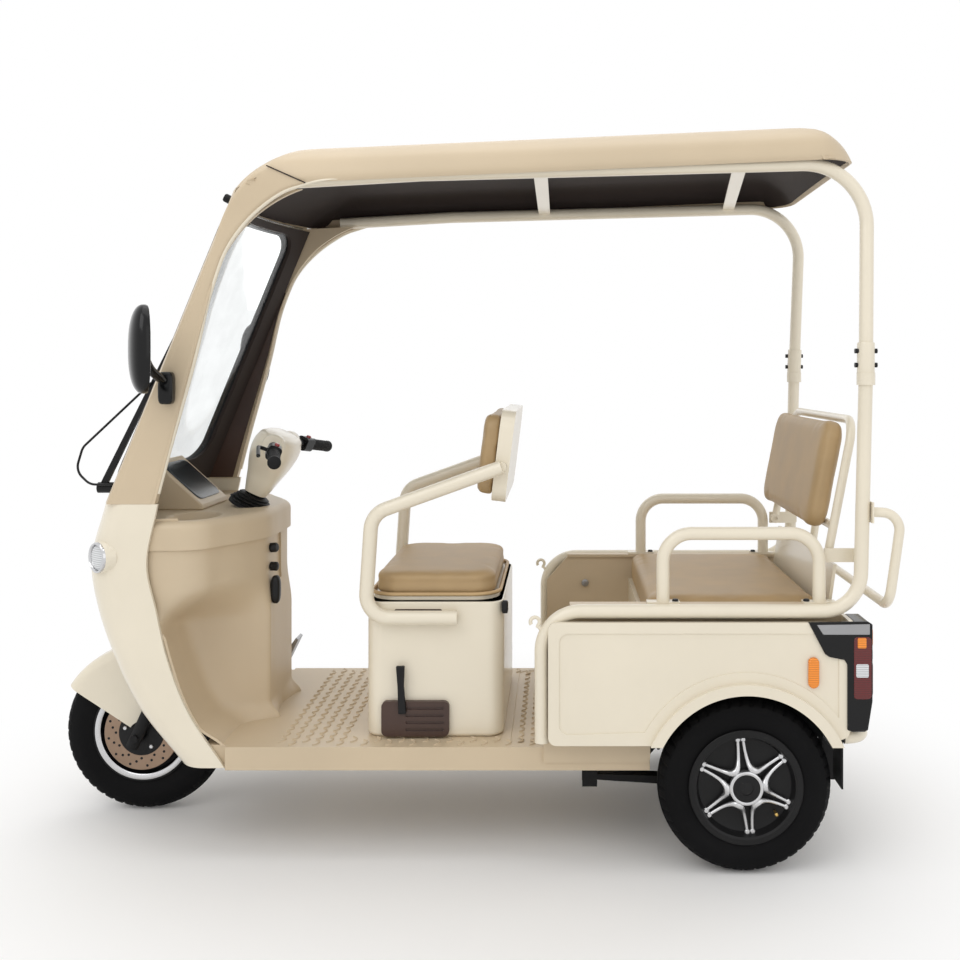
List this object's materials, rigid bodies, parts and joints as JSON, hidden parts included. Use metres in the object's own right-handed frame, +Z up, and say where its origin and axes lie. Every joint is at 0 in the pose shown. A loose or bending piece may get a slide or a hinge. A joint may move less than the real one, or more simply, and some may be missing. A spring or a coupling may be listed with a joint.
{
  "type": "electric passenger tricycle",
  "caption": "Covered electric passenger tricycle: a raked steered front wheel with handlebar, windscreen and roof on bent tubes, driver's seat over a box, rear bench with a folding backrest.",
  "frame": {"origin": "on the ground, under the middle of the overall box", "axes": "+X to the front wheel, +Y to the driver's left, +Z up"},
  "size_m": [2.1939, 1.0756, 1.8405],
  "materials": {
    "cream_paint": "gloss",
    "cream_plastic": "gloss",
    "beige_plastic": "satin",
    "tan_vinyl": "satin",
    "dark_lining": "matte",
    "brown_plastic": "satin",
    "clear_glass": "gloss",
    "black_rubber": "matte",
    "black_plastic": "satin",
    "tyre_rubber": "matte",
    "black_alloy": "satin",
    "bare_steel": "brushed",
    "chassis_black": "satin",
    "lamp_lens": "gloss",
    "amber_lens": "gloss",
    "chrome_ring": "mirror",
    "battery_case": "matte"
  },
  "bodies": {
    "chassis": {"frame": "chassis_black", "floor_pan": "beige_plastic", "front_cowl": "cream_plastic", "headlamp": "chrome_ring", "dash_body": "beige_plastic", "steering_boot": "black_rubber", "instrument_pod": "beige_plastic", "roof_shell": "beige_plastic", "roof_lining": "dark_lining", "windscreen_frame": "beige_plastic", "windscreen_glass": "clear_glass", "windscreen_lining": "dark_lining", "roof_tubes": "cream_paint", "wiper": "black_plastic", "washer_hose": "black_rubber", "dash_controls": "black_plastic", "seat_box": "cream_plastic", "battery_block": "battery_case", "armrest_frame": "cream_paint", "driver_back_shell": "cream_plastic", "driver_back_pad": "tan_vinyl", "lever_housing": "brown_plastic", "parking_lever": "black_plastic", "box_rims": "cream_paint", "side_panel_left": "cream_paint", "side_panel_right": "cream_paint", "wheel_houses": "black_plastic", "inner_walls": "beige_plastic", "bench_box": "beige_plastic", "bench_cushion": "tan_vinyl", "rear_panel": "cream_paint", "lower_back": "beige_plastic", "handrails": "cream_paint", "rear_hoop": "cream_paint", "tail_lamps": "lamp_lens", "side_markers": "amber_lens", "rear_bumper": "cream_paint", "mudflaps": "black_rubber", "rear_axle": "chassis_black", "leaf_springs": "chassis_black", "mirrors": "black_plastic", "brake_pedal": "bare_steel"},
    "steering": {"fork": "bare_steel", "front_mudguard": "cream_plastic", "handlebar": "bare_steel", "column_cover": "cream_plastic", "grips": "black_rubber", "switchgear": "black_plastic"},
    "front_wheel": {"front_tyre": "tyre_rubber", "front_rim": "black_alloy", "brake_disc": "bare_steel"},
    "rear_wheel_left": {"rear_left_tyre": "tyre_rubber", "rear_left_rim": "black_alloy"},
    "rear_wheel_right": {"rear_right_tyre": "tyre_rubber", "rear_right_rim": "black_alloy"},
    "driver_seat": {"seat_pan": "cream_plastic", "seat_cushion": "tan_vinyl"},
    "rear_backrest": {"backrest_frame": "cream_paint", "backrest_cushion": "tan_vinyl"}
  },
  "joints": [
    {"name": "steer", "type": "hinge", "parent": "chassis", "child": "steering", "pos_m": [0.877, 0, 0.22], "axis": [-0.4163, 0, 0.9092], "range_deg": [-38, 38]},
    {"name": "front_wheel_spin", "type": "hinge", "parent": "steering", "child": "front_wheel", "pos_m": [0.877, 0, 0.22], "axis": [0, 1, 0], "continuous": true},
    {"name": "rear_left_spin", "type": "hinge", "parent": "chassis", "child": "rear_wheel_left", "pos_m": [-0.712, 0.39, 0.21], "axis": [0, 1, 0], "continuous": true},
    {"name": "rear_right_spin", "type": "hinge", "parent": "chassis", "child": "rear_wheel_right", "pos_m": [-0.712, -0.39, 0.21], "axis": [0, 1, 0], "continuous": true},
    {"name": "seat_lift", "type": "hinge", "parent": "chassis", "child": "driver_seat", "pos_m": [0.217, 0, 0.6263], "axis": [0, 1, 0], "range_deg": [0, 75]},
    {"name": "backrest_fold", "type": "hinge", "parent": "chassis", "child": "rear_backrest", "pos_m": [-0.93, 0, 0.755], "axis": [0, 1, 0], "range_deg": [0, 95]}
  ]
}
